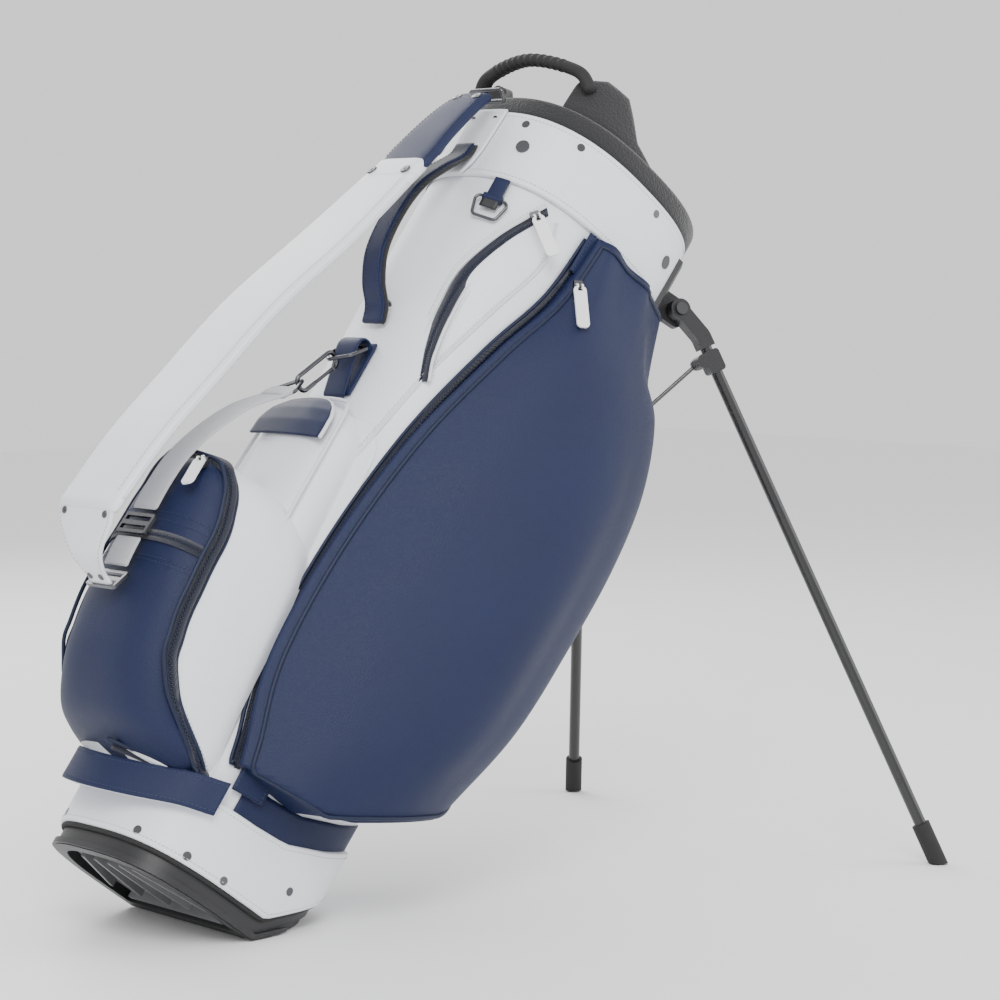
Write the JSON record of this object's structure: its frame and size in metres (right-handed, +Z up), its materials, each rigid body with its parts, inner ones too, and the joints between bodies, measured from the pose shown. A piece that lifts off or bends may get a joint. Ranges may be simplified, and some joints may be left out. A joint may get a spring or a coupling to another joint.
{
  "type": "golf stand bag",
  "caption": "Padded golf club bag with moulded base, zipped pockets, shoulder strap, grab handles and a folding two-leg stand worked by a hinged heel plate.",
  "frame": {"origin": "middle of the heel plate bottom face, on the floor, with the stand open", "axes": "+Z up from the floor, +X from the base towards the legs, +Y across the bag to its far side"},
  "size_m": [0.8805, 0.5834, 0.8382],
  "materials": {
    "matte_black": "moulded, satin",
    "grey_insert": "matt",
    "steel": "satin",
    "leg_paint": "anodised black, satin",
    "rubber_foot": "matt",
    "white_leather": "fine pebble grain, satin",
    "navy_leather": "fine pebble grain, satin",
    "mesh": "knitted spacer mesh",
    "lining": "plush",
    "webbing": "woven",
    "gunmetal": "dark nickel plate",
    "white_pull": "soft moulded"
  },
  "bodies": {
    "bag": {"ball_pocket": "navy_leather", "ball_zip_slider": "gunmetal", "base_foot": "matte_black", "base_handle": "navy_leather", "centre_dividers": "lining", "chest_zip_slider": "gunmetal", "club_tube": "white_leather", "cross_dividers": "lining", "cuff_rivets": "gunmetal", "d_ring": "gunmetal", "divider_bars": "matte_black", "guide_track": "matte_black", "handle_sleeve_far": "mesh", "handle_sleeve_near": "mesh", "heel_hinge_pin": "steel", "hip_pad_far": "mesh", "hip_pad_near": "mesh", "lift_handle": "matte_black", "lower_cuff": "white_leather", "mid_pocket": "white_leather", "pivot_pins": "steel", "ring_tabs": "navy_leather", "side_pocket_far": "navy_leather", "side_pocket_near": "navy_leather", "side_zip_slider_far": "gunmetal", "side_zip_slider_near": "gunmetal", "snap_hook": "gunmetal", "sole_insert": "grey_insert", "spine_handle": "navy_leather", "stand_bracket": "matte_black", "strap_buckles": "gunmetal", "strap_loop": "gunmetal", "strap_pad": "white_leather", "strap_plate": "white_leather", "strap_tab": "white_leather", "strap_webbing": "webbing", "strap_wrap": "navy_leather", "top_frame": "matte_black", "triangle_ring": "gunmetal", "upper_cuff": "white_leather"},
    "heel": {"heel_plate": "matte_black"},
    "leg_near": {"leg_head_near": "matte_black", "leg_tube_near": "leg_paint", "leg_clip_near": "matte_black", "leg_foot_near": "rubber_foot"},
    "leg_far": {"leg_head_far": "matte_black", "leg_tube_far": "leg_paint", "leg_clip_far": "matte_black", "leg_foot_far": "rubber_foot"},
    "spreader": {"spreader_block": "matte_black", "push_rod": "steel"},
    "strut_near_body": {"strut_near": "steel"},
    "strut_far_body": {"strut_far": "steel"},
    "side_pull_near": {"side_zip_pull_near": "white_pull"},
    "side_pull_far": {"side_zip_pull_far": "white_pull"},
    "chest_pull": {"chest_zip_pull": "white_pull"},
    "ball_pull": {"ball_zip_pull": "white_pull"},
    "towel_loop": {"towel_ring": "gunmetal"},
    "gate": {"hook_gate": "gunmetal"}
  },
  "joints": [
    {"name": "leg_near_fold", "type": "hinge", "parent": "bag", "child": "leg_near", "pos_m": [0.52371, -0.07, 0.57255], "axis": [0.3125, 0.9217, -0.2299], "range_deg": [0, 55.08]},
    {"name": "leg_far_fold", "type": "hinge", "parent": "bag", "child": "leg_far", "pos_m": [0.52371, 0.07, 0.57255], "axis": [-0.3125, 0.9217, 0.2299], "range_deg": [0, 55.08]},
    {"name": "spreader_slide", "type": "slide", "parent": "bag", "child": "spreader", "axis": [-0.6205, 0, -0.7842], "range_m": [0, 0.041]},
    {"name": "strut_near_turn", "type": "hinge", "parent": "spreader", "child": "strut_near_body", "pos_m": [0.35723, -0.016, 0.35983], "axis": [-0.4504, -0.8826, 0.1347], "range_deg": [0, 11.37]},
    {"name": "strut_far_turn", "type": "hinge", "parent": "spreader", "child": "strut_far_body", "pos_m": [0.35723, 0.016, 0.35983], "axis": [0.4504, -0.8826, -0.1347], "range_deg": [0, 11.37]},
    {"name": "heel_turn", "type": "hinge", "parent": "bag", "child": "heel", "pos_m": [-0.04051, 0, 0.00343], "axis": [0, 1, 0], "range_deg": [0, 36.35]},
    {"name": "side_pull_near_lift", "type": "hinge", "parent": "bag", "child": "side_pull_near", "pos_m": [0.32981, -0.13399, 0.60055], "axis": [-0.9142, 0.3948, 0.0911], "range_deg": [0, 70]},
    {"name": "side_pull_far_lift", "type": "hinge", "parent": "bag", "child": "side_pull_far", "pos_m": [0.32981, 0.13399, 0.60055], "axis": [0.9142, 0.3948, -0.0911], "range_deg": [0, 70]},
    {"name": "chest_pull_lift", "type": "hinge", "parent": "bag", "child": "chest_pull", "pos_m": [0.29762, -0.107, 0.6694], "axis": [-0.8699, 0.3928, -0.2984], "range_deg": [0, 70]},
    {"name": "ball_pull_lift", "type": "hinge", "parent": "bag", "child": "ball_pull", "pos_m": [-0.05209, -0.03075, 0.44312], "axis": [-0.4211, 0.8891, -0.1793], "range_deg": [0, 50]},
    {"name": "towel_ring_swing", "type": "hinge", "parent": "bag", "child": "towel_loop", "pos_m": [0.28106, -0.06, 0.68655], "axis": [0.4027, -0.866, -0.2964], "range_deg": [-60, 0]},
    {"name": "hook_gate_press", "type": "hinge", "parent": "bag", "child": "gate", "pos_m": [0.10647, 0, 0.50865], "axis": [0, -1, 0], "range_deg": [0, 12], "stiffness_Nm_per_rad": 0.05}
  ],
  "couplings": [
    {"joint": "leg_far_fold", "follows": "leg_near_fold", "ratio": 1},
    {"joint": "spreader_slide", "follows": "leg_near_fold", "m_per_rad": 0.042645},
    {"joint": "strut_near_turn", "follows": "leg_near_fold", "ratio": 0.20637},
    {"joint": "strut_far_turn", "follows": "leg_near_fold", "ratio": 0.20637},
    {"joint": "heel_turn", "follows": "leg_near_fold", "ratio": 0.65988}
  ]
}
